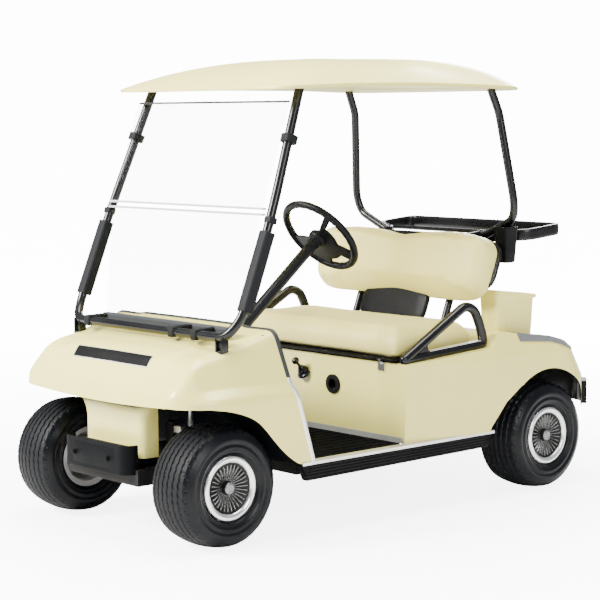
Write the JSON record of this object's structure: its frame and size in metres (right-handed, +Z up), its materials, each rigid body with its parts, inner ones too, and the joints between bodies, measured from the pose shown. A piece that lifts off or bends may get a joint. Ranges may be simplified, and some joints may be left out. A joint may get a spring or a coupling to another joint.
{
  "type": "golf cart",
  "caption": "Electric golf cart for two: moulded body, crowned canopy, folding windshield, bench seat that lifts, steered front wheels and an open bagwell.",
  "frame": {"origin": "on the ground under the middle of the cart, midway between the two bumpers", "axes": "+X to the cart's left, -Y towards its front, +Z up"},
  "size_m": [1.198, 2.28, 1.78],
  "materials": {
    "body_ivory": "glossy moulded body panels, warm ivory",
    "vinyl_cream": "cream vinyl, softly shining",
    "tyre_rubber": "worn black rubber",
    "wheel_metal": "silver cap with dark slots between its fins",
    "black_plastic": "grained black plastic",
    "grey_plastic": "dark grey plastic",
    "black_paint": "satin black paint",
    "bright_metal": "brushed, natural",
    "frame_metal": "mill finish, dull",
    "steel": "plain steel, oiled",
    "rubber_black": "black rubber",
    "clear_sheet": "clear acrylic sheet",
    "light_strip": "light grey extrusion"
  },
  "bodies": {
    "chassis": {"frame": "frame_metal", "front_suspension": "steel", "rear_axle": "steel", "drive_motor": "black_paint", "rear_springs": "steel", "floor_pan": "frame_metal", "floor_mat": "rubber_black", "sills": "rubber_black", "toe_board": "grey_plastic", "cowl": "body_ivory", "cowl_trim": "grey_plastic", "badge_plate": "black_plastic", "dash": "black_plastic", "steering_column": "black_paint", "steering_gear": "steel", "pedals": "black_paint", "front_bumper": "rubber_black", "rear_body": "body_ivory", "bagwell_liner": "black_plastic", "battery_block": "black_plastic", "charge_socket": "black_plastic", "selector": "black_plastic", "base_trim": "bright_metal", "seat_hinges": "steel", "hip_restraints": "black_plastic", "backrest_cushion": "vinyl_cream", "backrest_shell": "black_plastic", "seat_posts": "black_paint", "bag_rack": "black_plastic", "caddy_box": "black_plastic", "tub": "body_ivory", "rack_knob": "black_plastic", "fender_trims": "grey_plastic", "rear_bumper": "rubber_black", "roof": "body_ivory", "roof_liner": "body_ivory", "rear_struts": "black_paint", "windshield_frame": "black_paint", "shield_fittings": "black_plastic", "panes": "clear_sheet", "pane_strips": "light_strip"},
    "steering_wheel": {"steering_wheel": "black_plastic"},
    "knuckle_left": {"knuckle_left": "steel"},
    "knuckle_right": {"knuckle_right": "steel"},
    "tie_rod": {"tie_rod": "steel"},
    "seat_bottom": {"seat_cushion": "vinyl_cream", "seat_pan": "black_plastic"},
    "road_wheel_front_left": {"tyre_front_left": "tyre_rubber", "wheel_front_left": "wheel_metal"},
    "road_wheel_front_right": {"tyre_front_right": "tyre_rubber", "wheel_front_right": "wheel_metal"},
    "road_wheel_rear_left": {"tyre_rear_left": "tyre_rubber", "wheel_rear_left": "wheel_metal"},
    "road_wheel_rear_right": {"tyre_rear_right": "tyre_rubber", "wheel_rear_right": "wheel_metal"}
  },
  "joints": [
    {"name": "steering", "type": "hinge", "parent": "chassis", "child": "steering_wheel", "pos_m": [0.29, -0.245, 1.091], "axis": [0, 0.7727, 0.6347], "range_deg": [-360, 360]},
    {"name": "steer_left", "type": "hinge", "parent": "chassis", "child": "knuckle_left", "pos_m": [0.388, -0.907, 0.224], "axis": [0, 0, 1], "range_deg": [-30.5, 30.5]},
    {"name": "steer_right", "type": "hinge", "parent": "chassis", "child": "knuckle_right", "pos_m": [-0.388, -0.907, 0.224], "axis": [0, 0, 1], "range_deg": [-30.5, 30.5]},
    {"name": "rod_pivot", "type": "hinge", "parent": "knuckle_left", "child": "tie_rod", "pos_m": [0.31, -0.817, 0.158], "axis": [0, 0, 1], "range_deg": [-37.5, 37.5]},
    {"name": "seat_lift", "type": "hinge", "parent": "chassis", "child": "seat_bottom", "pos_m": [0, -0.048, 0.6], "axis": [1, 0, 0], "range_deg": [0, 75]},
    {"name": "roll_front_left", "type": "hinge", "parent": "knuckle_left", "child": "road_wheel_front_left", "pos_m": [0.438, -0.907, 0.224], "axis": [1, 0, 0], "continuous": true},
    {"name": "roll_front_right", "type": "hinge", "parent": "knuckle_right", "child": "road_wheel_front_right", "pos_m": [-0.438, -0.907, 0.224], "axis": [1, 0, 0], "continuous": true},
    {"name": "roll_rear_left", "type": "hinge", "parent": "chassis", "child": "road_wheel_rear_left", "pos_m": [0.489, 0.757, 0.224], "axis": [1, 0, 0], "continuous": true},
    {"name": "roll_rear_right", "type": "hinge", "parent": "chassis", "child": "road_wheel_rear_right", "pos_m": [-0.489, 0.757, 0.224], "axis": [1, 0, 0], "continuous": true}
  ],
  "couplings": [
    {"joint": "steer_left", "follows": "steering", "ratio": 0.083333},
    {"joint": "steer_right", "follows": "steering", "ratio": 0.083333},
    {"joint": "rod_pivot", "follows": "steering", "ratio": -0.10261}
  ]
}
